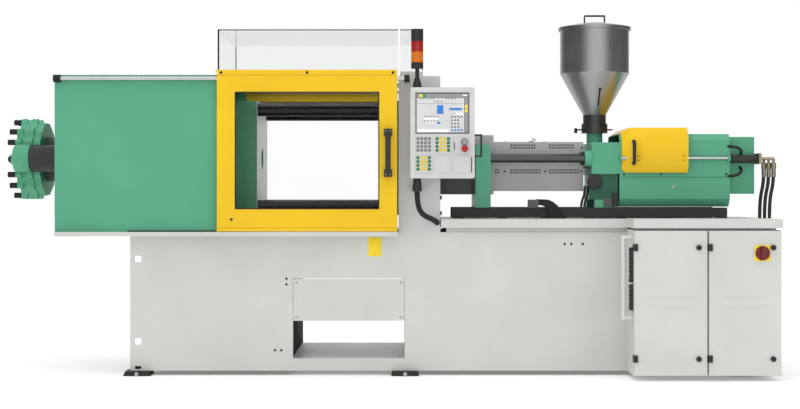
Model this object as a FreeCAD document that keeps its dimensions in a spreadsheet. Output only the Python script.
import FreeCAD, Part
import Sketcher
import math
import os
import re

# Injection moulding machine, modelled in millimetres on its own centre plane.
# Stations run along X from the clamp cylinder (-X) to the hose end (+X), the operator stands at -Y,
# Z is up from the floor. Every finished piece is then shifted so that the origin lies in the middle
# of the footprint, by the two values worked out in origin_shift.

doc = FreeCAD.newDocument("InjectionMachine")
sheet = doc.addObject("Spreadsheet::Sheet", "Dims")

DRIVING = {
    # base weldment and what stands on the floor
    "base_left": -1481, "base_wall_left": -1390, "base_right": 2080, "base_half": 445,
    "base_bottom": 25, "clamp_top": 765, "inject_top": 785, "base_step": -11, "plate": 8,
    "chute_left": -588, "chute_right": 25, "chute_floor": 92, "chute_lip": 299, "chute_head": 531,
    "drop_left": -560, "drop_right": -70, "drop_half": 230,
    "lift_hole": 35, "lift_station": -1437, "lift_low": 185, "lift_high": 638,
    "foot_size": 150, "foot_nose": 45,
    # bed plate, casing, rods and doors of the clamp
    "bed_left": -1872, "bed_half": 560, "bed_thick": 24,
    "casing_left": -1878, "casing_right": -940, "casing_half": 520, "casing_top": 1642, "sheet_metal": 3,
    "door_left": -991, "door_right": -16, "door_low": 792, "door_top": 1667, "door_face": 560,
    "door_deep": 34, "window_left": -893, "window_right": -113, "window_low": 913, "window_top": 1547,
    "pane": 6, "pane_lap": 12, "door_rod_radius": 11, "door_rod_y": 543, "door_rod_z": 1621,
    "door_rod_right": 52, "rod_cap_radius": 21, "rod_cap_long": 38, "running": 0.08, "cover_gap": 3,
    "hood_left": -1001, "hood_right": -10, "hood_half": 442, "hood_top": 1898, "hood_sheet": 5,
    "hood_end": 126, "handle_reach": 55, "handle_low": 1087, "handle_high": 1346,
    # platens, tie bars and hydraulics of the clamp
    "axis_z": 1195, "platen_half": 318, "tie_offset": 272, "tie_radius": 37.5, "tie_end": 190,
    "fixed_face": -45, "fixed_thick": 180, "moving_face": -795, "moving_thick": 124,
    "end_face": -1560, "end_thick": 140, "nut_radius": 58, "nut_long": 48, "centring_radius": 62.5,
    "centring_deep": 20, "mould_pitch": 420, "mould_pitch_narrow": 210, "mould_thread": 7,
    "mould_thread_deep": 40,
    "tube_radius": 128, "bore_radius": 100, "rod_radius": 80, "piston_long": 40, "side_radius": 75,
    "side_offset": 205, "flange_right": -2035, "flange_left": -2174, "flange_radius": 238,
    "lobe_radius": 76, "bolt_circle": 215, "dome_radius": 122, "dome_left": -2222, "neck_radius": 37,
    "cylinder_tip": -2263,
    "cap_radius": 21, "bolt_radius": 16, "bolt_long": 40,
    "eject_radius": 12, "eject_pitch": 220, "eject_stroke": 100, "eject_plate": 20,
    # fixed column and control panel
    "column_left": -8, "column_right": 221,
    "panel_left": 56, "panel_right": 402, "panel_low": 1079, "panel_top": 1569, "panel_face": 600,
    "panel_deep": 70, "panel_round": 12, "pivot_x": 93, "pivot_y": 565, "pin_radius": 15, "pin_long": 180,
    "screen_left": 84, "screen_right": 372, "screen_low": 1320, "screen_top": 1540, "screen_thick": 4,
    "stop_x": 348, "stop_z": 1238, "stop_radius": 18.5, "key_z": 1275, "key_radius": 15,
    "grip_low": 1194, "grip_high": 1318, "grip_reach": 37, "grip_radius": 5,
    "lamp_radius": 33, "post_radius": 11, "tower_top": 1885,
    # cabinet
    "cabinet_left": 1243, "cabinet_right": 2024, "cabinet_face": 720, "cabinet_low": 27,
    "cabinet_high": 802, "lid_low": 813, "lid_high": 862, "lid_lip": 9, "leaf": 20, "leaf_split": 1635,
    "leaf_gap": 11, "hinge_radius": 9, "hinge_long": 36, "hinge_inset": 9, "lock_inset": 44,
    "lock_radius": 14, "lock_low": 119, "lock_high": 710, "switch_x": 1922, "switch_z": 681,
    "switch_plate": 85, "switch_radius": 38, "switch_deep": 32, "bumper_radius": 10, "bumper_reach": 54,
    "bumper_low": 325, "bumper_high": 775, "mullion_wide": 22,
    # injection side
    "tray_left": 224, "tray_low": 809, "tray_top": 857, "tray_half": 470, "tray_inset": 30,
    "rail_left": 299, "rail_right": 1842, "rail_y": 200, "rail_wide": 60, "rail_low": 864, "rail_top": 918,
    "slide_gap": 0.3,
    "guide_radius": 23.5, "guide_y": 205, "guide_right": 1845,
    "bracket_left": 425, "bracket_right": 510, "bracket_top": 1272, "bracket_half": 242,
    "bracket_inner": 168, "box_left": 229, "box_right": 531, "box_half": 165, "box_low": 992,
    "box_top": 1328, "heater_right": 1041, "heater_half": 158, "heater_low": 1011, "heater_top": 1290,
    "vent": 9, "vent_pitch": 14.6, "vent_high": 1252, "vent_low": 1111,
    "block_left": 1079, "block_right": 1234, "block_half": 240, "block_low": 1108, "block_top": 1285,
    "block_foot": 963, "barrel_radius": 52, "screw_radius": 22.5, "barrel_left": 300, "nozzle_radius": 24,
    "nozzle_tip": 40, "melt_radius": 5, "throat_radius": 30, "feed_x": 1124,
    "hopper_radius": 198, "hopper_outlet": 64, "hopper_neck": 66, "hopper_low": 1345, "neck_top": 1450,
    "cone_top": 1688, "rolled_low": 1698, "hopper_top": 1953, "hopper_sheet": 3,
    "lid_radius": 209, "lid_skirt": 17,
    "lid_rise": 27, "strap_top": 2027, "strap_half": 60, "gate_z": 1362, "gate_thick": 6,
    "housing_right": 1855, "housing_half": 240, "housing_low": 923, "housing_top": 1333,
    "shield_left": 1246, "shield_right": 1616, "shield_half": 274, "shield_low": 1114, "shield_top": 1368,
    "shield_bevel": 34, "shield_sheet": 4, "shield_rod_radius": 8.5, "shield_rod_y": 256,
    "end_box_right": 2001, "end_box_low": 995, "end_box_top": 1317, "end_box_half": 200,
    "yoke_left": 1460, "yoke_thick": 60, "yoke_half": 235, "yoke_high": 90, "motor_radius": 85,
    "motor_long": 170, "valve_radius": 23.5, "valve_y": 224, "valve_right": 2016, "valve_z": 1192,
    "hose_end": 2098, "hose_radius": 10,
}
for row, (alias, size) in enumerate(DRIVING.items(), start=1):
    sheet.set(f"A{row}", alias)
    sheet.set(f"B{row}", str(size))
    sheet.setAlias(f"B{row}", alias)
doc.recompute()

# Positions that several pieces share, worked out from the driving sizes.
BED_TOP = "(clamp_top + bed_thick)"
DOOR_BACK = "(door_face - door_deep)"
FIXED_BACK = "(fixed_face + fixed_thick)"
MOVING_BACK = "(moving_face - moving_thick)"
END_BACK = "(end_face - end_thick)"
FRONT_REACH = "(cabinet_face + switch_deep)"
origin_shift = {"x": "-(cylinder_tip + hose_end) / 2",
                "y": f"({FRONT_REACH} - door_rod_y - rod_cap_radius) / 2"}


def sized(text):
    """Expression text with every word that is a cell of the sheet pointed at the sheet."""
    return re.sub(r"[a-z][a-z_]*[a-z]", lambda word: "Dims." + word.group(), str(text))


def value(text):
    """Number that an expression text has in the sheet now."""
    return float(sheet.evalExpression(sized(text)))


def place(piece, at, rotation=None):
    """Binds a piece's position, and turns it first when a rotation is given."""
    if rotation:
        piece.Placement = FreeCAD.Placement(FreeCAD.Vector(), rotation)
    for axis, position in zip("xyz", at):
        piece.setExpression(f"Placement.Base.{axis}", sized(position))


def box(name, across, depth, up):
    """Box between pairs of positions on X, Y and Z."""
    piece = doc.addObject("Part::Box", name)
    for size, (low, high) in zip(("Length", "Width", "Height"), (across, depth, up)):
        piece.setExpression(size, sized(f"({high}) - ({low})"))
    place(piece, (across[0], depth[0], up[0]))
    return piece


TURNS = {
    "X": FreeCAD.Rotation(FreeCAD.Vector(0, 1, 0), 90),
    "Y": FreeCAD.Rotation(FreeCAD.Vector(1, 0, 0), -90),
    "Z": FreeCAD.Rotation(),
}


def round_bar(name, axis, radius, span, centre):
    """Cylinder along X, Y or Z, over a span of that axis, about a centre on the other two."""
    piece = doc.addObject("Part::Cylinder", name)
    piece.setExpression("Radius", sized(radius))
    piece.setExpression("Height", sized(f"({span[1]}) - ({span[0]})"))
    at = list(centre)
    at.insert("XYZ".index(axis), span[0])
    place(piece, at, TURNS[axis])
    return piece


def taper(name, axis, radii, span, centre):
    """Cone along X, Y or Z, between two radii."""
    piece = doc.addObject("Part::Cone", name)
    piece.setExpression("Radius1", sized(radii[0]))
    piece.setExpression("Radius2", sized(radii[1]))
    piece.setExpression("Height", sized(f"({span[1]}) - ({span[0]})"))
    at = list(centre)
    at.insert("XYZ".index(axis), span[0])
    place(piece, at, TURNS[axis])
    return piece


def fuse(name, *pieces):
    """One solid from several that touch."""
    joined = doc.addObject("Part::MultiFuse", name)
    joined.Shapes = list(pieces)
    joined.Refine = True
    return joined


def cut(name, base, *tools):
    """A piece with one or more others taken out of it."""
    carved = doc.addObject("Part::Cut", name)
    carved.Base = base
    carved.Tool = tools[0] if len(tools) == 1 else fuse(name + "Tools", *tools)
    return carved


def both_sides(make):
    """The same piece on the operator's side and on the far side: make(tag, sign) builds one."""
    return [make("Front", "-1"), make("Rear", "1")]


def band(sign, inner, outer):
    """Pair of Y positions between two distances from the centre plane, on the side given by sign."""
    if sign == "-1":
        return (f"-({outer})", f"-({inner})")
    return (inner, outer)


nodes = []


def node(label, *pieces):
    """Finished sub-part: its solids in one object, shifted to the machine's own origin."""
    finished = doc.addObject("Part::Compound", "Node_" + label)
    finished.Links = list(pieces)
    finished.Label = label
    place(finished, (origin_shift["x"], origin_shift["y"], "0"))
    nodes.append(finished)
    return finished


def constrained_outline(body, plane_role, points):
    """Sketch of a closed outline whose corners, all at or above zero, are bound to the sheet."""
    plane = [part for part in body.Origin.OriginFeatures if part.Role == plane_role][0]
    sketch = body.newObject("Sketcher::SketchObject", body.Name + "Outline")
    sketch.AttachmentSupport = (plane, [""])
    sketch.MapMode = "FlatFace"
    numbers = [(value(across), value(up)) for across, up in points]
    for index, start in enumerate(numbers):
        end = numbers[(index + 1) % len(numbers)]
        line = Part.LineSegment(FreeCAD.Vector(*start, 0), FreeCAD.Vector(*end, 0))
        sketch.addGeometry(line, False)
    for index, (across, up) in enumerate(points):
        sketch.addConstraint(Sketcher.Constraint("Coincident", index, 2, (index + 1) % len(points), 1))
        for kind, text, axis, size in (("DistanceX", across, -2, numbers[index][0]),
                                       ("DistanceY", up, -1, numbers[index][1])):
            if size == 0:
                sketch.addConstraint(Sketcher.Constraint("PointOnObject", index, 1, axis))
                continue
            held = sketch.addConstraint(Sketcher.Constraint(kind, -1, 1, index, 1, size))
            sketch.setExpression(f"Constraints[{held}]", sized(text))
    return sketch


def turned(name, points, at, rotation=None):
    """PartDesign body turned on a lathe: points are radius and height along its own Z."""
    body = doc.addObject("PartDesign::Body", name)
    sketch = constrained_outline(body, "XZ_Plane", points)
    turning = body.newObject("PartDesign::Revolution", name + "Turning")
    turning.Profile = sketch
    turning.ReferenceAxis = (sketch, ["V_Axis"])
    turning.Angle = 360
    place(body, at, rotation)
    return body


def padded(name, points, length, at, rotation=None):
    """PartDesign body padded from an outline along its own Z."""
    body = doc.addObject("PartDesign::Body", name)
    sketch = constrained_outline(body, "XY_Plane", points)
    pad = body.newObject("PartDesign::Pad", name + "Pad")
    pad.Profile = sketch
    pad.setExpression("Length", sized(length))
    place(body, at, rotation)
    return body


def hose(name, radius, route):
    """Round hose along straight runs joined by tangent arcs, each as wide as its runs allow."""
    corners = [FreeCAD.Vector(*point) for point in route]
    edges = []
    start = corners[0]
    for before, corner, after in zip(corners, corners[1:], corners[2:]):
        leaving = (before - corner).normalize()
        going = (after - corner).normalize()
        half_turn = (math.pi - leaving.getAngle(going)) / 2
        reach = 0.45 * min((before - corner).Length, (after - corner).Length)
        bend = reach / math.tan(half_turn)
        print(f"{name}: bend radius {bend:.0f} mm")
        enter = corner + leaving * reach
        leave = corner + going * reach
        inward = (leaving + going).normalize()
        middle = corner + inward * (bend / math.cos(half_turn) - bend)
        edges.append(Part.makeLine(start, enter))
        edges.append(Part.Arc(enter, middle, leave).toShape())
        start = leave
    edges.append(Part.makeLine(start, corners[-1]))
    path = Part.Wire(edges)
    ring = Part.Wire(Part.makeCircle(radius, corners[0], corners[1] - corners[0]))
    tube = path.makePipeShell([ring], True, True)
    expected = math.pi * radius ** 2 * path.Length
    if abs(tube.Volume - expected) > 0.01 * expected:
        raise ValueError(f"{name} has volume {tube.Volume:.0f}, not section times length, {expected:.0f}")
    print(f"{name}: {path.Length:.0f} mm long")
    piece = doc.addObject("Part::Feature", name)
    piece.Shape = tube
    return piece


# Base weldment: two hollow bays open below, and between them the chute that parts drop into, which
# passes through from front to back. Front and rear sides run on to the left as lifting flanges.
INNER_HALF = "(base_half - plate)"
outer = fuse(
    "BaseOuter",
    box("ClampBay", ("base_wall_left", "base_step"), ("-base_half", "base_half"),
        ("base_bottom", "clamp_top")),
    box("InjectBay", ("base_step", "base_right"), ("-base_half", "base_half"), ("base_bottom", "inject_top")),
    *both_sides(lambda tag, sign: box(
        tag + "Flange", ("base_left", "base_wall_left"), band(sign, INNER_HALF, "base_half"),
        ("base_bottom", "clamp_top"))),
)
hollows = [
    box("ClampHollow", ("base_wall_left + plate", "chute_left - plate"), ("-" + INNER_HALF, INNER_HALF),
        ("base_bottom - 1", "clamp_top - plate")),
    box("InjectHollow", ("chute_right + plate", "base_right - plate"), ("-" + INNER_HALF, INNER_HALF),
        ("base_bottom - 1", "inject_top - plate")),
    box("ChuteHollow", ("chute_left", "chute_right"), ("-" + INNER_HALF, INNER_HALF),
        ("chute_floor", "clamp_top - plate")),
    box("ChuteMouth", ("chute_left", "chute_right"), ("-base_half - 1", "base_half + 1"),
        ("chute_floor", "chute_head")),
    box("DropHole", ("drop_left", "drop_right"), ("-drop_half", "drop_half"),
        ("clamp_top - plate - 1", "inject_top + 1")),
]
for tag, low in (("Low", "lift_low"), ("High", "lift_high")):
    hollows.append(box(
        "LiftHole" + tag, ("lift_station - lift_hole / 2", "lift_station + lift_hole / 2"),
        ("-base_half - 1", "base_half + 1"), (f"{low} - lift_hole / 2", f"{low} + lift_hole / 2")))
node("base_frame", cut("BaseFrame", outer, *hollows))

# Chute cover: a screwed plate that closes the upper part of the chute's mouth, with an even gap
# round it and a return flange behind that meets the mouth's sides.
cover_plate = box(
    "CoverPlate", ("chute_left + cover_gap", "chute_right - cover_gap"),
    ("-base_half", "-base_half + plate / 2"), ("chute_lip", "chute_head - cover_gap"))
cover_wings = [
    box("CoverWing" + tag, across, ("-base_half + plate / 2", "-base_half + 30"),
        ("chute_lip", "chute_head - cover_gap"))
    for tag, across in (("Left", ("chute_left", "chute_left + 20")),
                        ("Right", ("chute_right - 20", "chute_right")))
]
node("chute_cover", fuse("ChuteCover", cover_plate, *cover_wings))

# Levelling feet: wedge mounts under the sides, each with a nose and its adjusting screw in front.
foot_solids = []
for station, along in (("Left", "lift_station"), ("Middle", "chute_right"),
                       ("Right", "cabinet_right - foot_size")):
    for tag, sign in (("Front", "-1"), ("Rear", "1")):
        name = station + tag
        start = f"({along} - foot_size / 2)"
        pad = box("FootPad" + name, (start, f"{start} + foot_size"),
                  band(sign, "base_half + foot_nose - foot_size", "base_half + foot_nose"),
                  ("0", "base_bottom"))
        screw = round_bar("FootScrew" + name, "Y", 8,
                          band(sign, "base_half + foot_nose", "base_half + foot_nose + 14"),
                          (along, "base_bottom / 2"))
        foot_solids.append(fuse("Foot" + name, pad, screw))
node("levelling_feet", *foot_solids)

# Bed plate: carries the clamp and runs out past the base on the left, with the drop hole in it.
bed = box("BedBlank", ("bed_left", "base_step"), ("-bed_half", "bed_half"), ("clamp_top", BED_TOP))
bed_hole = box("BedHole", ("drop_left", "drop_right"), ("-drop_half", "drop_half"),
               ("clamp_top - 1", BED_TOP + " + 1"))
node("bed_plate", cut("BedPlate", bed, bed_hole))

# Clamp casing: folded sheet round the cylinder end, open to the mould area and below, with a slot
# for the cylinders in its end and the rail along its rear top edge on which the hood runs.
casing_blank = box("CasingBlank", ("casing_left", "casing_right"), ("-casing_half", "casing_half"),
                   (BED_TOP, "casing_top"))
casing_hollow = box("CasingHollow", ("casing_left + sheet_metal", "casing_right + 1"),
                    ("-casing_half + sheet_metal", "casing_half - sheet_metal"),
                    (BED_TOP + " - 1", "casing_top - sheet_metal"))
cylinder_slot = box("CylinderSlot", ("casing_left - 1", "casing_left + sheet_metal + 1"),
                    ("-side_offset - side_radius - 8", "side_offset + side_radius + 8"),
                    ("axis_z - tube_radius - 8", "axis_z + tube_radius + 8"))
hood_rail = box("HoodRail", ("casing_left", "hood_end"), ("hood_half - 12", "hood_half + 12"),
                ("casing_top", "door_top - running"))
casing_shell = cut("CasingShell", casing_blank, casing_hollow, cylinder_slot)
node("clamp_casing", fuse("ClampCasing", casing_shell, hood_rail))

# Door rods and the blocks that hold them: the left cap stands off the casing, the right one off the
# column cover.
ROD_RIGHT = "(door_rod_right - 6)"
node("door_rods", *both_sides(lambda tag, sign: round_bar(
    "DoorRod" + tag, "X", "door_rod_radius", ("casing_left + 6", ROD_RIGHT),
    (f"{sign} * door_rod_y", "door_rod_z"))))


def rod_holder(tag, sign, left, right, seat):
    """Round cap on the rod's end, blind-bored, with a foot that reaches the wall at seat."""
    centre = (f"{sign} * door_rod_y", "door_rod_z")
    cap = round_bar("RodCap" + tag, "X", "rod_cap_radius", (left, right), centre)
    foot = box("RodFoot" + tag, (left, right), band(sign, seat, "door_rod_y"),
               ("door_rod_z - 12", "door_rod_z + 12"))
    bore = round_bar("RodBore" + tag, "X", "door_rod_radius", ("casing_left + 6", ROD_RIGHT), centre)
    return cut("RodHolder" + tag, fuse("RodHolderBlank" + tag, cap, foot), bore)


holders = []
for tag, sign in (("Front", "-1"), ("Rear", "1")):
    holders.append(rod_holder("Left" + tag, sign, "casing_left", "casing_left + rod_cap_long", "casing_half"))
    holders.append(rod_holder("Right" + tag, sign, "door_rod_right - 29", "door_rod_right", "base_half"))
node("rod_fittings", *holders)

# Sliding guard doors: a folded pan with a window, hung on its rod by the two rod holes in its rims.
PAN = "sheet_metal"


def guard_leaf(tag, sign):
    """Door pan on one side of the machine, open at its back, with the window cut through."""
    blank = box("DoorBlank" + tag, ("door_left", "door_right"), band(sign, DOOR_BACK, "door_face"),
                ("door_low", "door_top"))
    pan = box("DoorPan" + tag, (f"door_left + {PAN}", f"door_right - {PAN}"),
              band(sign, DOOR_BACK + " - 1", f"door_face - {PAN}"),
              (f"door_low + {PAN}", f"door_top - {PAN}"))
    opening = box("DoorOpening" + tag, ("window_left", "window_right"),
                  band(sign, DOOR_BACK, "door_face + 1"),
                  ("window_low", "window_top"))
    bore = round_bar("DoorBore" + tag, "X", "door_rod_radius + running", ("door_left - 1", "door_right + 1"),
                     (f"{sign} * door_rod_y", "door_rod_z"))
    bushes = [
        round_bar("DoorBush" + tag + end, "X", "door_rod_radius + 4", across,
                  (f"{sign} * door_rod_y", "door_rod_z"))
        for end, across in (("Left", ("door_left", "door_left + 60")),
                            ("Right", ("door_right - 60", "door_right")))
    ]
    shell = cut("DoorShell" + tag, blank, pan, opening)
    return cut("Door" + tag, fuse("DoorBushed" + tag, shell, *bushes), bore)


def window_pane(tag, sign):
    """Clear pane behind the door's skin, lapping the window all round."""
    return box("Pane" + tag, ("window_left - pane_lap", "window_right + pane_lap"),
               band(sign, f"door_face - {PAN} - pane", f"door_face - {PAN}"),
               ("window_low - pane_lap", "window_top + pane_lap"))


# The front door also carries the hood, on a ledge that runs back over the casing.
hood_ledge = box("HoodLedge", ("hood_left", "door_right"), ("-door_face", "-hood_half + 12"),
                 (f"door_top - {PAN}", "door_top"))
node("guard_door", fuse("GuardDoor", guard_leaf("Front", "-1"), hood_ledge))
node("guard_window", window_pane("Front", "-1"))
node("rear_door", guard_leaf("Rear", "1"))
node("rear_window", window_pane("Rear", "1"))

# Door handle: a square bar on two feet, on the door's right-hand stile.
GRIP_X = "(window_right + door_right) / 2"
handle_bar = box("HandleBar", (GRIP_X + " - 15", GRIP_X + " + 15"),
                 ("-door_face - handle_reach", "-door_face - handle_reach + 18"),
                 ("handle_low", "handle_high"))
handle_feet = [
    box("HandleFoot" + tag, (GRIP_X + " - 22", GRIP_X + " + 22"),
        ("-door_face - handle_reach", "-door_face"), up)
    for tag, up in (("Low", ("handle_low", "handle_low + 40")), ("High", ("handle_high - 40", "handle_high")))
]
node("guard_handle", fuse("GuardHandle", handle_bar, *handle_feet))


def hood(name, across, floor, closed_left):
    """Clear folded sheet over the mould area, open below and to the right."""
    blank = box(name + "Blank", across, ("-hood_half", "hood_half"), (floor, "hood_top"))
    start = f"({across[0]}) + hood_sheet" if closed_left else f"({across[0]}) - 1"
    hollow = box(name + "Hollow", (start, f"({across[1]}) + 1"),
                 ("-hood_half + hood_sheet", "hood_half - hood_sheet"),
                 (f"{floor} - 1", "hood_top - hood_sheet"))
    return cut(name, blank, hollow)


node("guard_hood", hood("GuardHood", ("hood_left", "hood_right"), "door_top", True))
node("fixed_hood", hood("FixedHood", ("0", "hood_end"), "door_top - running", False))

# Column cover: folded sheet round the fixed platen, open to the mould and below, with a window in
# its right wall for the nozzle and the guide rods.
cover_blank = box("ColumnBlank", ("column_left", "column_right"), ("-base_half", "base_half"),
                  ("inject_top", "casing_top"))
cover_hollow = box("ColumnHollow", ("column_left - 1", "column_right - sheet_metal"),
                   ("-base_half + sheet_metal", "base_half - sheet_metal"),
                   ("inject_top - 1", "casing_top - sheet_metal"))
nozzle_window = box("NozzleWindow", ("column_right - sheet_metal - 1", "column_right + 1"),
                    ("-guide_y - 60", "guide_y + 60"), ("axis_z - 120", "axis_z + 120"))
hood_seat = box("HoodSeat", ("0", "hood_end"), ("-hood_half", "-hood_half + 18"),
                ("casing_top - sheet_metal", "door_top - running"))
node("column_cover", fuse("ColumnCover", cut("ColumnShell", cover_blank, cover_hollow, nozzle_window),
                          hood_seat))


# Platens: steel blocks on four tie bars. Each has its bars' bores, and the two that hold the mould
# have a centring bore and tapped holes in the mould face.
def tie_places():
    """Y and Z of the four tie bars, with a tag for each."""
    for row, high in (("Low", "-"), ("High", "+")):
        for side, far in (("Front", "-"), ("Rear", "+")):
            yield side + row, f"{far}tie_offset", f"axis_z {high} tie_offset"


def platen(name, left, right, bar_bore, middle_bore):
    """Square block with four bar bores and a bore through its middle."""
    blank = box(name + "Blank", (left, right), ("-platen_half", "platen_half"),
                ("axis_z - platen_half", "axis_z + platen_half"))
    span = (f"{left} - 1", f"{right} + 1")
    bores = [round_bar(f"{name}Bore{tag}", "X", bar_bore, span, (y, z)) for tag, y, z in tie_places()]
    bores.append(round_bar(name + "Middle", "X", middle_bore, span, ("0", "axis_z")))
    return cut(name + "Block", blank, *bores)


def mould_holes(name, face, deep):
    """Tapped holes in a mould face, in two rows above and two below, and the centring bore."""
    span = (face, deep) if value(deep) > value(face) else (deep, face)
    holes = []
    for row, up in enumerate(("-mould_pitch / 2", "-mould_pitch_narrow / 2", "mould_pitch_narrow / 2",
                              "mould_pitch / 2")):
        for column, y in enumerate(("-mould_pitch / 2", "mould_pitch / 2")):
            holes.append(round_bar(f"{name}Hole{row}{column}", "X", "mould_thread", span,
                                   (y, f"axis_z + {up}")))
    return holes


def foot_block(name, across, floor):
    """Foot under a platen, down to the bed it stands on."""
    return box(name, across, ("-platen_half + 50", "platen_half - 50"), (floor, "axis_z - platen_half + 1"))


fixed_block = fuse(
    "FixedBlank", platen("Fixed", "fixed_face", FIXED_BACK, "tie_radius", "centring_radius"),
    foot_block("FixedFoot", ("0", FIXED_BACK), "inject_top"))
node("fixed_platen", cut("FixedPlaten", fixed_block, *mould_holes(
    "Fixed", "fixed_face - 1", "fixed_face + mould_thread_deep")))

end_block = fuse(
    "EndBlank", platen("End", END_BACK, "end_face", "tie_radius", "tube_radius"),
    foot_block("EndFoot", (END_BACK, "end_face"), BED_TOP))
# Main cylinder, through the end platen, and a fast-travel cylinder each side of it.
main_tube = round_bar("MainTube", "X", "tube_radius", ("flange_right", "end_face"), ("0", "axis_z"))
main_bore = round_bar("MainBore", "X", "bore_radius", ("flange_right - 1", "end_face - 30"), ("0", "axis_z"))
gland_bore = round_bar("GlandBore", "X", "rod_radius + running", ("end_face - 31", "end_face + 1"),
                       ("0", "axis_z"))
side_tubes = both_sides(lambda tag, sign: round_bar(
    "SideTube" + tag, "X", "side_radius", ("flange_left + 97", END_BACK),
    (f"{sign} * side_offset", "axis_z")))
node("end_platen", end_block, cut("MainCylinder", main_tube, main_bore, gland_bore), *side_tubes)

# Cylinder head: round flange with a lobe for each fast-travel cylinder, a dome and a filler neck.
BLIND = "(flange_left + 24)"
head_blank = fuse(
    "HeadBlank",
    round_bar("HeadFlange", "X", "flange_radius", ("flange_left", "flange_right"), ("0", "axis_z")),
    *both_sides(lambda tag, sign: round_bar(
        "HeadLobe" + tag, "X", "lobe_radius + 6", ("flange_left", "flange_left + 97"),
        (f"{sign} * side_offset", "axis_z"))))
head_bore = round_bar("HeadBore", "X", "bore_radius", (BLIND, "flange_right + 1"), ("0", "axis_z"))
lobe_clear = both_sides(lambda tag, sign: round_bar(
    "LobeClear" + tag, "X", "side_radius", ("flange_left + 97", "flange_right + 1"),
    (f"{sign} * side_offset", "axis_z")))
dome = turned("HeadDome", [
    ("0", "0"), ("dome_radius", "0"), ("dome_radius", "(flange_left - dome_left) * 0.35"),
    ("dome_radius * 0.72", "flange_left - dome_left"), ("neck_radius", "flange_left - dome_left"),
    ("neck_radius", "dome_left - cylinder_tip + flange_left - dome_left - 18"),
    ("cap_radius", "dome_left - cylinder_tip + flange_left - dome_left - 18"),
    ("cap_radius", "flange_left - cylinder_tip"), ("0", "flange_left - cylinder_tip")],
    ("flange_left", "0", "axis_z"), FreeCAD.Rotation(FreeCAD.Vector(0, 1, 0), -90))
node("cylinder_head", fuse("CylinderHead", cut("HeadBored", head_blank, head_bore, *lobe_clear), dome))

# Cylinder bolts: socket screws round the flange, in the gaps beside the lobes.
bolts = []
for side in (0, 180):
    for angle in (-76, -45, -25, 25, 45, 76):
        turn = math.radians(side + angle)
        bolts.append(round_bar(
            f"Bolt{side}{'Up' if angle > 0 else 'Down'}{abs(angle)}", "X", "bolt_radius",
            ("flange_left - bolt_long", "flange_left"),
            (f"bolt_circle * {math.cos(turn):.5f}", f"axis_z + bolt_circle * {math.sin(turn):.5f}")))
node("cylinder_bolts", *bolts)

# Tie bars, with a round nut on each end of each.
TIE_START = f"{END_BACK} - nut_long - 12"
bars = [round_bar("TieBar" + tag, "X", "tie_radius", (TIE_START, "tie_end"), (y, z))
        for tag, y, z in tie_places()]
nuts = []
for tag, y, z in tie_places():
    for end, span in (("Left", (f"{END_BACK} - nut_long", END_BACK)),
                      ("Right", (FIXED_BACK, f"{FIXED_BACK} + nut_long"))):
        ring = round_bar("NutRing" + tag + end, "X", "nut_radius", span, (y, z))
        hole = round_bar("NutHole" + tag + end, "X", "tie_radius", (f"{span[0]} - 1", f"{span[1]} + 1"),
                         (y, z))
        nuts.append(cut("Nut" + tag + end, ring, hole))
node("tie_bars", *bars, *nuts)

# Moving platen: runs on the tie bars and carries the ejector's two rods in bores of their own.
def ejector_rods(name, radius, span):
    """Two rods, above and below the axis."""
    return [round_bar(name + tag, "X", radius, span, ("0", f"axis_z {sign} eject_pitch / 2"))
            for tag, sign in (("Low", "-"), ("High", "+"))]


moving_block = platen("Moving", MOVING_BACK, "moving_face", "tie_radius + running", "centring_radius")
ram_seat = round_bar("RamSeat", "X", "rod_radius", (MOVING_BACK, "moving_face - centring_deep"),
                     ("0", "axis_z"))
node("moving_platen", cut(
    "MovingPlaten", fuse("MovingSolid", moving_block, ram_seat),
    *mould_holes("Moving", "moving_face + 1", "moving_face - mould_thread_deep"),
    *ejector_rods("EjectBore", "eject_radius + running", (f"{MOVING_BACK} - 1", "moving_face + 1"))))

# Clamp ram: a piston in the main cylinder and the rod that pushes the moving platen.
PISTON_LEFT = "(flange_left + 34)"
node("clamp_ram", fuse(
    "ClampRam",
    round_bar("Piston", "X", "bore_radius - running", (PISTON_LEFT, f"{PISTON_LEFT} + piston_long"),
              ("0", "axis_z")),
    round_bar("RamRod", "X", "rod_radius", (f"{PISTON_LEFT} + piston_long", MOVING_BACK), ("0", "axis_z"))))

# Ejector: a plate round the ram with two rods through the moving platen.
EJECT_LEFT = f"({MOVING_BACK} - eject_stroke - eject_plate - 12)"
eject_blank = box("EjectBlank", (EJECT_LEFT, f"{EJECT_LEFT} + eject_plate"),
                  ("-rod_radius - 30", "rod_radius + 30"),
                  ("axis_z - eject_pitch / 2 - 30", "axis_z + eject_pitch / 2 + 30"))
eject_eye = round_bar("EjectEye", "X", "rod_radius + 4",
                      (f"{EJECT_LEFT} - 1", f"{EJECT_LEFT} + eject_plate + 1"),
                      ("0", "axis_z"))
node("ejector", fuse("Ejector", cut("EjectPlate", eject_blank, eject_eye), *ejector_rods(
    "EjectRod", "eject_radius", (f"{EJECT_LEFT} + eject_plate", "moving_face - 2"))))


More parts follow.
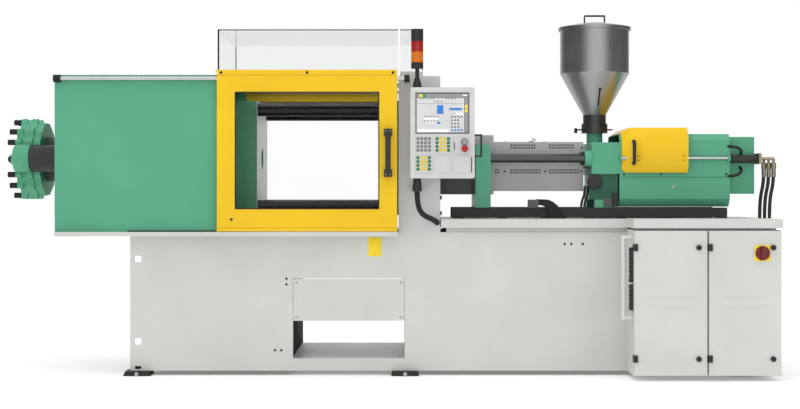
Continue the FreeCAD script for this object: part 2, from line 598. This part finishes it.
# Control panel: a case that swivels on a pin standing on an arm from the column cover.
PANEL_BACK = "(panel_face - panel_deep)"
CASE_WIDE = "(panel_right - panel_left)"
CASE_HIGH = "(panel_top - panel_low)"
case = padded("PanelCase", [("0", "0"), (CASE_WIDE, "0"), (CASE_WIDE, CASE_HIGH), ("0", CASE_HIGH)],
              "panel_deep", ("panel_left", "-" + PANEL_BACK, "panel_low"),
              FreeCAD.Rotation(FreeCAD.Vector(1, 0, 0), 90))
doc.recompute()
case_pad = case.Tip
corners = [f"Edge{index}" for index, edge in enumerate(case_pad.Shape.Edges, start=1)
           if abs(edge.tangentAt(edge.FirstParameter).z) > 0.99]
rounding = case.newObject("PartDesign::Fillet", "PanelRounding")
rounding.Base = (case_pad, corners)
rounding.setExpression("Radius", sized("panel_round"))
case.Tip = rounding
CENTRE = ("pivot_x", "-pivot_y")
screen_recess = box("ScreenRecess", ("screen_left", "screen_right"),
                    ("-panel_face - 1", "-panel_face + screen_thick"),
                    ("screen_low", "screen_top"))
pin_bore = round_bar("PinBore", "Z", "pin_radius + running", ("panel_low - 1", "panel_low + pin_long + 1"),
                     CENTRE)
stop_bore = round_bar("StopBore", "Y", "stop_radius / 2 + running", ("-panel_face - 1", "-panel_face + 30"),
                      ("stop_x", "stop_z"))
key_bore = round_bar("KeyBore", "Y", "key_radius / 2 + running", ("-panel_face - 1", "-panel_face + 30"),
                     ("stop_x", "key_z"))
node("panel_case", cut("PanelCaseCut", case, screen_recess, pin_bore, stop_bore, key_bore))
node("panel_screen", box("PanelScreen", ("screen_left", "screen_right"),
                         ("-panel_face", "-panel_face + screen_thick"), ("screen_low", "screen_top")))

# Grab handle on the panel's side: a bent wire with square corners.
GRIP_Y = f"-({PANEL_BACK} + panel_deep / 2)"
grip_bars = [
    round_bar("GripUpright", "Z", "grip_radius", ("grip_low", "grip_high"),
              ("panel_right + grip_reach", GRIP_Y)),
    round_bar("GripLow", "X", "grip_radius", ("panel_right", "panel_right + grip_reach"),
              (GRIP_Y, "grip_low + grip_radius")),
    round_bar("GripHigh", "X", "grip_radius", ("panel_right", "panel_right + grip_reach"),
              (GRIP_Y, "grip_high - grip_radius")),
]
node("panel_handle", fuse("PanelHandle", *grip_bars))

# Emergency stop: a mushroom on a stem that slides in its bore. Key switch: a ring and barrel that turn.
stop = [
    round_bar("StopHead", "Y", "stop_radius", ("-panel_face - 32", "-panel_face - 14"), ("stop_x", "stop_z")),
    round_bar("StopStem", "Y", "stop_radius / 2", ("-panel_face - 14", "-panel_face + 20"),
              ("stop_x", "stop_z")),
]
node("estop_button", fuse("StopButton", *stop))
key = [
    round_bar("KeyRing", "Y", "key_radius", ("-panel_face - 6", "-panel_face - slide_gap"),
              ("stop_x", "key_z")),
    round_bar("KeyBarrel", "Y", "key_radius / 2", ("-panel_face - slide_gap", "-panel_face + 28"),
              ("stop_x", "key_z")),
    box("KeyBow", ("stop_x - 2", "stop_x + 2"), ("-panel_face - 20", "-panel_face - 6"),
        ("key_z - key_radius * 0.7", "key_z + key_radius * 0.7")),
]
node("key_switch", fuse("KeySwitch", *key))

# Signal tower: a stepped boot, a post and a housing, with two lamps between the housing's ends.
LAMP = "((tower_top - panel_top) / 316)"


def tower(height):
    """Height above the panel in a tower drawn 316 mm tall."""
    return f"(panel_top + {LAMP} * {height})"


post_blank = fuse(
    "PostBlank",
    taper("BootLow", "Z", ("post_radius + 14", "post_radius + 11"), (tower(0), tower(28)), CENTRE),
    taper("BootHigh", "Z", ("post_radius + 8", "post_radius + 4"), (tower(28), tower(50)), CENTRE),
    round_bar("Post", "Z", "post_radius", (tower(50), tower(316)), CENTRE),
    round_bar("TowerBase", "Z", "lamp_radius", (tower(104), tower(136)), CENTRE),
    round_bar("TowerCap", "Z", "lamp_radius", (tower(250), tower(316)), CENTRE))
node("signal_post", post_blank)
for label, low, high in (("lamp_amber", 136, 193), ("lamp_red", 193, 250)):
    lens = round_bar(label.title() + "Lens", "Z", "lamp_radius", (tower(low), tower(high)), CENTRE)
    core = round_bar(label.title() + "Core", "Z", "post_radius", (tower(low - 1), tower(high + 1)), CENTRE)
    node(label, cut(label.title() + "Ring", lens, core))

# Panel bracket: an arm from the column cover, the boot under the panel and the pin inside it.
arm_up = ("panel_low - 70", "panel_low - 34")
bracket = fuse(
    "PanelBracket",
    box("BracketArm", ("pivot_x - 24", "pivot_x + 24"), ("-pivot_y", "-base_half"), arm_up),
    round_bar("BracketEye", "Z", 24, arm_up, CENTRE),
    taper("BracketBoot", "Z", (24, 20), ("panel_low - 34", "panel_low - slide_gap"), CENTRE),
    round_bar("BracketPin", "Z", "pin_radius", ("panel_low - 34", "panel_low + pin_long"), CENTRE))
node("panel_bracket", bracket)

# Panel conduit: leaves the arm's eye downwards, bows out to the right and enters the column cover.
conduit_route = [(93, -565, 1008.7), (93, -565, 940), (120, -552, 880), (190, -500, 852),
                 (204, -450.3, 836.3)]
node("panel_conduit", hose("PanelConduit", 12, conduit_route))

# Cabinet: a shell on the base's front, open to the front, under a top cover on a recessed neck.
LEAF_BACK = "(cabinet_face - leaf)"
SHELL_FRONT = f"({LEAF_BACK} - 1)"
shell_blank = box("ShellBlank", ("cabinet_left", "cabinet_right"), ("-" + SHELL_FRONT, "-base_half"),
                  ("cabinet_low", "cabinet_high"))
shell_hollow = box("ShellHollow", ("cabinet_left + sheet_metal", "cabinet_right - sheet_metal"),
                   (f"-{SHELL_FRONT} - 1", "-base_half - sheet_metal"),
                   ("cabinet_low + sheet_metal", "cabinet_high - sheet_metal"))
neck = box("ShellNeck", ("cabinet_left + 20", "cabinet_right - 20"),
           (f"-{SHELL_FRONT} + 20", "-tray_half - 10"),
           ("cabinet_high", "lid_low"))
neck_hollow = box("NeckHollow", ("cabinet_left + 24", "cabinet_right - 24"),
                  (f"-{SHELL_FRONT} + 24", "-tray_half - 14"),
                  ("cabinet_high - sheet_metal - 1", "lid_low + 1"))
backplate = box("MountingPlate", ("cabinet_left + 40", "cabinet_right - 40"),
                ("-base_half - sheet_metal - 12", "-base_half - sheet_metal"),
                ("cabinet_low + 40", "cabinet_high - 40"))
mullion = box("Mullion", ("leaf_split - mullion_wide", "leaf_split + leaf_gap / 2 - slide_gap"),
              ("-" + SHELL_FRONT, f"-{SHELL_FRONT} + 24"), ("cabinet_low", "cabinet_high"))
BUMPER_Y = "-(cabinet_face - leaf - 14)"
BUMPER_X = "(cabinet_left - bumper_reach)"
bumper_sides = [
    round_bar("Bumper" + level, "X", "bumper_radius - 1", (BUMPER_X, "cabinet_left"), (BUMPER_Y, up))
    for level, up in (("Low", "bumper_low + bumper_radius + 1"), ("High", "bumper_high - bumper_radius - 1"))
]
bumper_upright = round_bar("BumperUpright", "Z", "bumper_radius", ("bumper_low", "bumper_high"),
                           (BUMPER_X, BUMPER_Y))
shell = cut("CabinetShell", fuse("ShellSolid", shell_blank, neck), shell_hollow, neck_hollow)
node("cabinet_shell", fuse("CabinetWelded", shell, mullion, backplate, bumper_upright, *bumper_sides))
lid_blank = box("LidBlank", ("cabinet_left - 3", "cabinet_right + lid_lip"),
                ("-cabinet_face - 2", "-tray_half"),
                ("lid_low", "lid_high"))
lid_hollow = box("LidHollow", ("cabinet_left", "cabinet_right + lid_lip - sheet_metal"),
                 ("-cabinet_face + 1", "-tray_half - sheet_metal"), ("lid_low - 1", "lid_high - sheet_metal"))
lid_bearers = [
    box("LidBearer" + tag, across, (f"-{SHELL_FRONT} + 20", "-tray_half - 10"),
        ("lid_low", "lid_high - sheet_metal"))
    for tag, across in (("Left", ("cabinet_left + 16", "cabinet_left + 28")),
                        ("Right", ("cabinet_right - 28", "cabinet_right - 16")))
]
node("cabinet_top", fuse("CabinetTop", cut("LidFolded", lid_blank, lid_hollow), *lid_bearers))

# Cabinet doors: folded pans, each hinged on its left edge and held by two quarter-turn locks.
LEAVES = {
    "left": ("cabinet_left + 1", "leaf_split - leaf_gap / 2"),
    "right": ("leaf_split + leaf_gap / 2", "cabinet_right"),
}
LEVELS = {"low": "lock_low", "high": "lock_high"}
PIN_Y = "-(cabinet_face + hinge_radius - 3)"
HINGE_SEATS = {"left": f"-{SHELL_FRONT} + 20", "right": "-" + SHELL_FRONT}
hinges = []
for side, (left, right) in LEAVES.items():
    lock_x = f"{right} - lock_inset"
    hinge_x = f"{left} + hinge_inset"
    blank = box(f"Leaf{side}Blank", (left, right), ("-cabinet_face", "-" + LEAF_BACK),
                ("cabinet_low + 3", "cabinet_high - 3"))
    pan = box(f"Leaf{side}Pan", (f"{left} + sheet_metal", f"{right} - sheet_metal"),
              ("-cabinet_face + sheet_metal", f"-{LEAF_BACK} + 1"),
              ("cabinet_low + 3 + sheet_metal", "cabinet_high - 3 - sheet_metal"))
    holes = []
    for level, up in LEVELS.items():
        holes.append(round_bar(f"Leaf{side}{level}Hole", "Y", "lock_radius * 0.6 + running",
                               ("-cabinet_face - 1", "-cabinet_face + sheet_metal + 1"), (lock_x, up)))
        holes.append(round_bar(f"Leaf{side}{level}Relief", "Z", "hinge_radius + slide_gap",
                               (f"{up} - hinge_long / 2 - 1", f"{up} + hinge_long / 2 + 1"),
                               (hinge_x, PIN_Y)))
    if side == "right":
        holes.append(round_bar("SwitchHole", "Y", "switch_radius * 0.4 + running",
                               ("-cabinet_face - 6", "-cabinet_face + sheet_metal + 1"),
                               ("switch_x", "switch_z")))
        plate = box("SwitchPlate", ("switch_x - switch_plate / 2", "switch_x + switch_plate / 2"),
                    ("-cabinet_face - 4", "-cabinet_face"),
                    ("switch_z - switch_plate / 2", "switch_z + switch_plate / 2"))
        blank = fuse("LeafWithPlate", blank, plate)
    node("cabinet_door_" + side, cut(f"Leaf{side}", blank, pan, *holes))
    for level, up in LEVELS.items():
        tall = (f"{up} - hinge_long / 2", f"{up} + hinge_long / 2")
        hinges.append(fuse(
            f"Hinge{side}{level}",
            round_bar(f"Knuckle{side}{level}", "Z", "hinge_radius", tall, (hinge_x, PIN_Y)),
            box(f"HingeBridge{side}{level}", (f"{left} - 4", hinge_x),
                (f"{PIN_Y} - 6", "-cabinet_face - slide_gap"), tall),
            box(f"HingeStrap{side}{level}", (f"{left} - 4", f"{left} - 1"),
                (f"{PIN_Y} - 6", HINGE_SEATS[side]), tall)))
        rim = round_bar(f"Lock{side}{level}Rim", "Y", "lock_radius",
                        ("-cabinet_face - 12", "-cabinet_face - slide_gap"),
                        (lock_x, up))
        stem = round_bar(f"Lock{side}{level}Stem", "Y", "lock_radius * 0.6",
                         ("-cabinet_face - slide_gap", "-cabinet_face + 9"), (lock_x, up))
        cam = box(f"Lock{side}{level}Cam", (f"{lock_x} - 8", f"{lock_x} + 30"),
                  ("-cabinet_face + 6", "-cabinet_face + 9"), (f"{up} - 8", f"{up} + 8"))
        slot = box(f"Lock{side}{level}Slot", (f"{lock_x} - 9", f"{lock_x} + 9"),
                   ("-cabinet_face - 13", "-cabinet_face - 8"), (f"{up} - 2", f"{up} + 2"))
        node(f"lock_{side}_{level}", cut(f"Lock{side}{level}",
                                         fuse(f"Lock{side}{level}Solid", rim, stem, cam), slot))
node("door_hinges", *hinges)

# Main switch: a round knob with a grip bar, on a shaft through the right-hand door.
switch = fuse(
    "MainSwitch",
    round_bar("SwitchDisc", "Y", "switch_radius", ("-cabinet_face - 16", "-cabinet_face - 4 - slide_gap"),
              ("switch_x", "switch_z")),
    box("SwitchGrip", ("switch_x - 9", "switch_x + 9"), ("-cabinet_face - switch_deep", "-cabinet_face - 16"),
        ("switch_z - switch_radius + 2", "switch_z + switch_radius - 2")),
    round_bar("SwitchShaft", "Y", "switch_radius * 0.4",
              ("-cabinet_face - 4 - slide_gap", "-cabinet_face + 10"),
              ("switch_x", "switch_z")))
node("main_switch", switch)


# Injection bed: an off-white tray turned down at its edges, on a recessed curb that stands on the base.
tray_blank = box("TrayBlank", ("tray_left", "base_right"), ("-tray_half", "tray_half"),
                 ("tray_low", "tray_top"))
tray_hollow = box("TrayHollow", ("tray_left + plate", "base_right - plate"),
                  ("-tray_half + plate", "tray_half - plate"), ("tray_low - 1", "tray_top - plate"))
curb_blank = box("CurbBlank", ("tray_left + tray_inset", "base_right - tray_inset"),
                 ("-tray_half + tray_inset", "tray_half - tray_inset"), ("inject_top", "tray_top - plate"))
curb_hollow = box("CurbHollow", ("tray_left + tray_inset + plate", "base_right - tray_inset - plate"),
                  ("-tray_half + tray_inset + plate", "tray_half - tray_inset - plate"),
                  ("inject_top - 1", "tray_top - plate + 1"))
node("side_tray", fuse("SideTray", cut("TrayFolded", tray_blank, tray_hollow),
                       cut("Curb", curb_blank, curb_hollow)))

# Slide rails: two bars along the injection bed on low pads.
rails = []
for tag, sign in (("Front", "-1"), ("Rear", "1")):
    lane = (f"{sign} * rail_y - rail_wide / 2", f"{sign} * rail_y + rail_wide / 2")
    bar = box("RailBar" + tag, ("rail_left", "rail_right"), lane, ("rail_low", "rail_top"))
    pads = [
        box(f"RailPad{tag}{index}", (f"rail_left + (rail_right - rail_left - 60) * {index} / 6",
                                     f"rail_left + (rail_right - rail_left - 60) * {index} / 6 + 60"),
            lane, ("tray_top", "rail_low"))
        for index in range(7)
    ]
    rails.append(fuse("Rail" + tag, bar, *pads))
node("slide_rails", *rails)

# Guide rods: from the back of the fixed platen through the bracket and the feed block to the yoke.
node("guide_rods", *both_sides(lambda tag, sign: round_bar(
    "GuideRod" + tag, "X", "guide_radius", (FIXED_BACK, "guide_right"), (f"{sign} * guide_y", "axis_z"))))


def guide_bores(name, span):
    """Running bores on both guide rods."""
    return both_sides(lambda tag, sign: round_bar(
        name + tag, "X", "guide_radius + running", (f"{span[0]} - 1", f"{span[1]} + 1"),
        (f"{sign} * guide_y", "axis_z")))


# Carriage castings: the feed block over the barrel's throat, and the bracket that straddles the
# nozzle end. Both run on the guide rods and stand on the rails.
RAIL_SEAT = "(rail_top + slide_gap)"
block_span = ("block_left", "block_right")
feed_blank = fuse(
    "FeedBlank",
    box("FeedUpper", block_span, ("-block_half", "block_half"), ("block_low", "block_top")),
    box("FeedLower", ("block_left + 12", "block_right - 10"), ("-block_half + 36", "block_half - 36"),
        ("block_foot", "block_low")),
    round_bar("FeedNeck", "Z", 46, ("block_top", "hopper_low"), ("feed_x", "0")),
    *both_sides(lambda tag, sign: box("FeedFoot" + tag, ("block_left + 22", "block_right - 10"), band(
        sign, "rail_y - rail_wide / 2", "rail_y + rail_wide / 2"), (RAIL_SEAT, "block_low"))),
    *both_sides(lambda tag, sign: round_bar("RodFlange" + tag, "X", "guide_radius * 2", (
        "block_left - 38", "block_left"), (f"{sign} * guide_y", "axis_z"))))
barrel_seat = round_bar("BarrelSeat", "X", "barrel_radius", ("block_left - 1", "block_right + 1"),
                        ("0", "axis_z"))
throat = round_bar("Throat", "Z", "throat_radius", ("axis_z", "hopper_low + 1"), ("feed_x", "0"))
feed_block = cut("FeedBlock", feed_blank, barrel_seat, throat,
                 *guide_bores("FeedBore", ("block_left - 38", "block_right")))

bracket_span = ("bracket_left", "bracket_right")
bracket_sides = both_sides(lambda tag, sign: box(
    "BracketSide" + tag, bracket_span, band(sign, "bracket_inner", "bracket_half"),
    (RAIL_SEAT, "bracket_top")))
bracket_tie = box("BracketTie", bracket_span, ("-bracket_inner - 1", "bracket_inner + 1"),
                  (RAIL_SEAT, "box_low"))
front_bracket = cut("FrontBracket", fuse("FrontBlank", bracket_tie, *bracket_sides),
                    *guide_bores("BracketBore", bracket_span))
node("carriage_castings", feed_block, front_bracket)

# Barrel: thick tube with a flanged nozzle at the mould end, bored for the screw and the melt.
barrel_blank = fuse(
    "BarrelBlank",
    round_bar("BarrelTube", "X", "barrel_radius", ("barrel_left", "block_right"), ("0", "axis_z")),
    round_bar("NozzleHex", "X", "nozzle_radius + 8", ("barrel_left - 40", "barrel_left"), ("0", "axis_z")),
    round_bar("NozzleBody", "X", "nozzle_radius", ("nozzle_tip + 30", "barrel_left - 40"), ("0", "axis_z")),
    taper("NozzleNose", "X", ("melt_radius * 2", "nozzle_radius"), ("nozzle_tip", "nozzle_tip + 30"),
          ("0", "axis_z")))
screw_bore = round_bar("ScrewBore", "X", "screw_radius + running", ("barrel_left + 12", "block_right + 1"),
                       ("0", "axis_z"))
melt_bore = round_bar("MeltBore", "X", "melt_radius", ("nozzle_tip - 1", "barrel_left + 13"), ("0", "axis_z"))
feed_slot = round_bar("FeedSlot", "Z", "throat_radius", ("axis_z", "axis_z + barrel_radius + 1"),
                      ("feed_x", "0"))
node("barrel", cut("Barrel", barrel_blank, screw_bore, melt_bore, feed_slot))

# Screw: shank, flight crests standing for the helix, and a pointed tip, turned by the motor.
SCREW_LEFT = "(barrel_left + 40)"
screw_solid = [
    round_bar("ScrewRoot", "X", "screw_radius * 0.7", (SCREW_LEFT, "block_right"), ("0", "axis_z")),
    round_bar("ScrewShank", "X", "screw_radius", ("block_right - 60", "yoke_left + 20"), ("0", "axis_z")),
    taper("ScrewTip", "X", ("melt_radius / 2", "screw_radius * 0.7"), (f"{SCREW_LEFT} - 24", SCREW_LEFT),
          ("0", "axis_z")),
]
for turn in range(16):
    crest = f"({SCREW_LEFT} + screw_radius * 2 * {turn})"
    screw_solid.append(round_bar(f"Crest{turn}", "X", "screw_radius", (crest, f"{crest} + 5"),
                                 ("0", "axis_z")))
node("screw", fuse("Screw", *screw_solid))

# Nozzle guard: sheet box round the nozzle end, open at both ends, with a dark skirt low on the
# operator's side.
box_blank = box("GuardBoxBlank", ("box_left", "box_right"), ("-box_half", "box_half"), ("box_low", "box_top"))
box_hollow = box("GuardBoxHollow", ("box_left - 1", "box_right + 1"),
                 ("-box_half + sheet_metal", "box_half - sheet_metal"),
                 ("box_low + sheet_metal", "box_top - sheet_metal"))
node("nozzle_guard", cut("NozzleGuard", box_blank, box_hollow))

# Heater guard: sheet box round the barrel with rows of square vents in both sides.
heater_span = ("box_right", "heater_right")
heater_blank = box("HeaterBlank", heater_span, ("-heater_half", "heater_half"), ("heater_low", "heater_top"))
heater_hollow = box("HeaterHollow", ("box_right - 1", "heater_right + 1"),
                    ("-heater_half + sheet_metal", "heater_half - sheet_metal"),
                    ("heater_low + sheet_metal", "heater_top - sheet_metal"))


VENT_GROUPS = {"vent_high": ((96, 10), (315, 10)), "vent_low": ((8, 2), (96, 12), (315, 12))}


def vent_rows():
    """Square holes through both sides: pairs of rows high and low, in groups along the guard."""
    pitch = value("vent_pitch")
    side = value("vent")
    reach = value("heater_half") + 1
    squares = []
    for level, groups in VENT_GROUPS.items():
        for start, count in groups:
            for index in range(count):
                for row in range(2):
                    corner = FreeCAD.Vector(value("box_right") + start + index * pitch, -reach,
                                            value(level) + row * pitch)
                    squares.append(Part.makeBox(side, 2 * reach, side, corner))
    return Part.makeCompound(squares)


vents = doc.addObject("Part::Feature", "Vents")
vents.Shape = vent_rows()
node("heater_guard", cut("HeaterGuard", heater_blank, heater_hollow, vents))

# Hopper: spun cylinder and cone on a neck and collar, with a slot for the shut-off gate. It stands
# on the feed block's neck.
hopper = turned("HopperSpun", [
    ("throat_radius", "0"), ("hopper_neck + 9", "0"), ("hopper_neck + 9", "neck_top - hopper_low - 52"),
    ("hopper_neck", "neck_top - hopper_low - 52"), ("hopper_neck", "neck_top - hopper_low"),
    ("hopper_radius", "cone_top - hopper_low"), ("hopper_radius", "hopper_top - hopper_low"),
    ("hopper_radius - hopper_sheet", "hopper_top - hopper_low"),
    ("hopper_radius - hopper_sheet", "cone_top - hopper_low + 1"),
    ("hopper_outlet - hopper_sheet", "neck_top - hopper_low + 1"),
    ("throat_radius", "neck_top - hopper_low - 30")],
    ("feed_x", "0", "hopper_low"))
GATE_HALF = "(throat_radius + 8)"
gate_slot = box("GateSlot", ("feed_x - 120", "feed_x + 120"),
                (f"-{GATE_HALF} - slide_gap", f"{GATE_HALF} + slide_gap"),
                ("gate_z - slide_gap", "gate_z + gate_thick + slide_gap"))
across_hopper = ("feed_x - hopper_radius - 5", "feed_x + hopper_radius + 5")
beside_hopper = ("-hopper_radius - 5", "hopper_radius + 5")
above_cone = box("AboveCone", across_hopper, beside_hopper, ("rolled_low", "hopper_top + 5"))
below_rolled = box("BelowRolled", across_hopper, beside_hopper, ("hopper_low - 5", "rolled_low"))
node("hopper", cut("HopperCone", hopper, gate_slot, above_cone), cut("HopperRolled", hopper, below_rolled))
gate = box("GatePlate", ("feed_x - 100", "feed_x + 100"), ("-" + GATE_HALF, GATE_HALF),
           ("gate_z", "gate_z + gate_thick"))
gate_hole = round_bar("GateHole", "Z", "throat_radius", ("gate_z - 1", "gate_z + gate_thick + 1"),
                      ("feed_x", "0"))
gate_knob = round_bar("GateKnob", "Z", 9, ("gate_z - 16", "gate_z + gate_thick + 6"), ("feed_x - 108", "0"))
node("hopper_gate", fuse("HopperGate", cut("GatePierced", gate, gate_hole), gate_knob))

# Hopper lid: shallow dome with a skirt outside the rim, and a strap handle.
LID_FLOOR = "(hopper_top - lid_skirt + slide_gap)"
lid = turned("LidSpun", [
    ("hopper_radius + 1", "0"), ("lid_radius", "0"), ("lid_radius", "lid_skirt"),
    ("lid_radius * 0.5", "lid_skirt + lid_rise * 0.8"), ("0", "lid_skirt + lid_rise"),
    ("0", "lid_skirt + lid_rise - hopper_sheet"),
    ("lid_radius * 0.5", "lid_skirt + lid_rise * 0.8 - hopper_sheet"),
    ("hopper_radius + 1", "lid_skirt")],
    ("feed_x", "0", LID_FLOOR))
strap = [
    box("StrapTop", ("feed_x - strap_half", "feed_x + strap_half"), (-10, 10),
        ("strap_top - 4", "strap_top")),
    *[box("StrapLeg" + tag, across, (-10, 10), ("hopper_top + lid_rise * 0.8", "strap_top"))
      for tag, across in (("Left", ("feed_x - strap_half", "feed_x - strap_half + 4")),
                          ("Right", ("feed_x + strap_half - 4", "feed_x + strap_half")))],
]
node("hopper_lid", fuse("HopperLid", lid, *strap))

# Rear housing: sheet cover over the injection drive, open to the feed block and below, and the
# smaller box on its end.
housing_span = ("block_right", "housing_right")
housing_blank = box("HousingBlank", housing_span, ("-housing_half", "housing_half"),
                    ("housing_low", "housing_top"))
housing_hollow = box("HousingHollow", ("block_right - 1", "housing_right - sheet_metal"),
                     ("-housing_half + sheet_metal", "housing_half - sheet_metal"),
                     ("housing_low - 1", "housing_top - sheet_metal"))
end_blank = box("EndBoxBlank", ("housing_right", "end_box_right"), ("-end_box_half", "end_box_half"),
                ("end_box_low", "end_box_top"))
end_hollow = box("EndBoxHollow", ("housing_right + sheet_metal", "end_box_right - sheet_metal"),
                 ("-end_box_half + sheet_metal", "end_box_half - sheet_metal"),
                 ("end_box_low - 1", "end_box_top - sheet_metal"))
shield_posts = both_sides(lambda tag, sign: box(
    "ShieldPost" + tag, ("housing_right - 16", "housing_right"), band(
        sign, "housing_half - 2", "shield_rod_y + 12"), ("axis_z - 14", "axis_z + 14")))
shield_posts += both_sides(lambda tag, sign: box(
    "ShieldStart" + tag, ("block_right", "block_right + 8"), band(
        sign, "housing_half - 2", "shield_rod_y + 12"), ("axis_z - 14", "axis_z + 14")))
shield_rods = both_sides(lambda tag, sign: round_bar(
    "ShieldRod" + tag, "X", "shield_rod_radius", ("block_right + 4", "housing_right - 4"),
    (f"{sign} * shield_rod_y", "axis_z")))
housing = fuse("RearHousing", cut("HousingFolded", housing_blank, housing_hollow),
               cut("EndBox", end_blank, end_hollow), *shield_posts)
node("rear_housing", cut("HousingDrilled", housing, *both_sides(lambda tag, sign: round_bar(
    "ShieldSeat" + tag, "X", "shield_rod_radius", ("block_right + 4", "housing_right - 4"),
    (f"{sign} * shield_rod_y", "axis_z")))))
node("shield_rods", *shield_rods)

# Sliding shield: a bridge over the housing with bevelled shoulders, on bushes that run on the rods.
HIGH = "(shield_top - shield_low)"
WIDE = "(shield_half * 2)"
skin = padded("ShieldSkin", [
    ("0", "0"), ("shield_sheet", "0"), ("shield_sheet", f"{HIGH} - shield_bevel - shield_sheet / 2"),
    ("shield_bevel + shield_sheet / 2", f"{HIGH} - shield_sheet"),
    (f"{WIDE} - shield_bevel - shield_sheet / 2", f"{HIGH} - shield_sheet"),
    (f"{WIDE} - shield_sheet", f"{HIGH} - shield_bevel - shield_sheet / 2"), (f"{WIDE} - shield_sheet", "0"),
    (WIDE, "0"), (WIDE, f"{HIGH} - shield_bevel"), (f"{WIDE} - shield_bevel", HIGH),
    ("shield_bevel", HIGH), ("0", f"{HIGH} - shield_bevel")],
    "shield_right - shield_left", ("shield_left", "-shield_half", "shield_low"),
    FreeCAD.Rotation(FreeCAD.Vector(1, 1, 1), 120))
bushes = []
bores = []
for tag, sign in (("Front", "-1"), ("Rear", "1")):
    centre = (f"{sign} * shield_rod_y", "axis_z")
    bores.append(round_bar("BushBore" + tag, "X", "shield_rod_radius + running",
                           ("shield_left - 1", "shield_right + 1"), centre))
    for end, across in (("Left", ("shield_left + 10", "shield_left + 50")),
                        ("Right", ("shield_right - 50", "shield_right - 10"))):
        bushes.append(box("Bush" + tag + end, across,
                          band(sign, "shield_rod_y - 13", "shield_half - shield_sheet + 1"),
                          ("axis_z - 15", "axis_z + 15")))
node("sliding_shield", cut("SlidingShield", fuse("ShieldBushed", skin, *bushes), *bores))

# Injection drive: a yoke on the guide rods with the motor that turns the screw bolted behind it.
yoke_span = ("yoke_left", "yoke_left + yoke_thick")
drive_blank = fuse(
    "DriveBlank",
    box("Yoke", yoke_span, ("-yoke_half", "yoke_half"), ("axis_z - yoke_high", "axis_z + yoke_high")),
    round_bar("Motor", "X", "motor_radius", ("yoke_left + yoke_thick", "yoke_left + yoke_thick + motor_long"),
              ("0", "axis_z")))
screw_socket = round_bar("ScrewSocket", "X", "screw_radius + running",
                         ("yoke_left - 1", "yoke_left + 20 + slide_gap"),
                         ("0", "axis_z"))
node("screw_drive", cut("ScrewDrive", drive_blank, screw_socket, *guide_bores("YokeBore", yoke_span)))

# Hydraulic fittings: the cylinder beside the end box, and a manifold with three elbows behind it.
fitting_solids = [
    round_bar("ValveBody", "X", "valve_radius", ("housing_right + 12", "valve_right"),
              ("-valve_y", "valve_z")),
    box("Manifold", ("end_box_right", "end_box_right + 14"), ("-valve_y - 96", "-valve_y + 40"),
        ("valve_z - 30", "valve_z + 30")),
]
fittings = [fuse("ValveAndManifold", *fitting_solids)]
for index in range(3):
    y = f"(-valve_y - 82 + {index} * 22)"
    x = f"(hose_end - hose_radius - 4 - {index} * 22)"
    fittings.append(fuse(
        f"Elbow{index}",
        round_bar(f"ElbowOut{index}", "X", 8, ("end_box_right + 14", x), (y, "valve_z")),
        round_bar(f"ElbowDown{index}", "Z", 8, ("valve_z - 34", "valve_z"), (x, y)),
        round_bar(f"ElbowNut{index}", "Z", "hose_radius + 4", ("valve_z - 56", "valve_z - 24"), (x, y))))
node("hydraulic_fittings", *fittings)

# Supply hoses: from the elbows down to the tray, each with a slight bow.
hose_tops = [(2084, -306), (2062, -284), (2040, -262)]
hoses = []
for index, (x, y) in enumerate(hose_tops):
    route = [(x, y, 1135.7), (x, y, 1060), (x - 26, y - 12, 965), (x - 26, y - 12, 857.3)]
    hoses.append(hose(f"SupplyHose{index}", 10, route))
node("supply_hoses", *hoses)

doc.recompute()
for item in doc.Objects:
    if "Invalid" in item.State or "Error" in item.State:
        raise ValueError(f"{item.Name} failed: {item.State}")
os.makedirs("parts", exist_ok=True)
for finished in nodes:
    if finished.Shape.isNull() or not finished.Shape.isValid():
        raise ValueError(f"{finished.Label} has no valid shape")
    for solid in finished.Shape.Solids:
        if not solid.isValid():
            raise ValueError(f"{finished.Label} holds an invalid solid")
    finished.Shape.exportStep(f"parts/{finished.Label}.step")
print(len(nodes), "nodes")
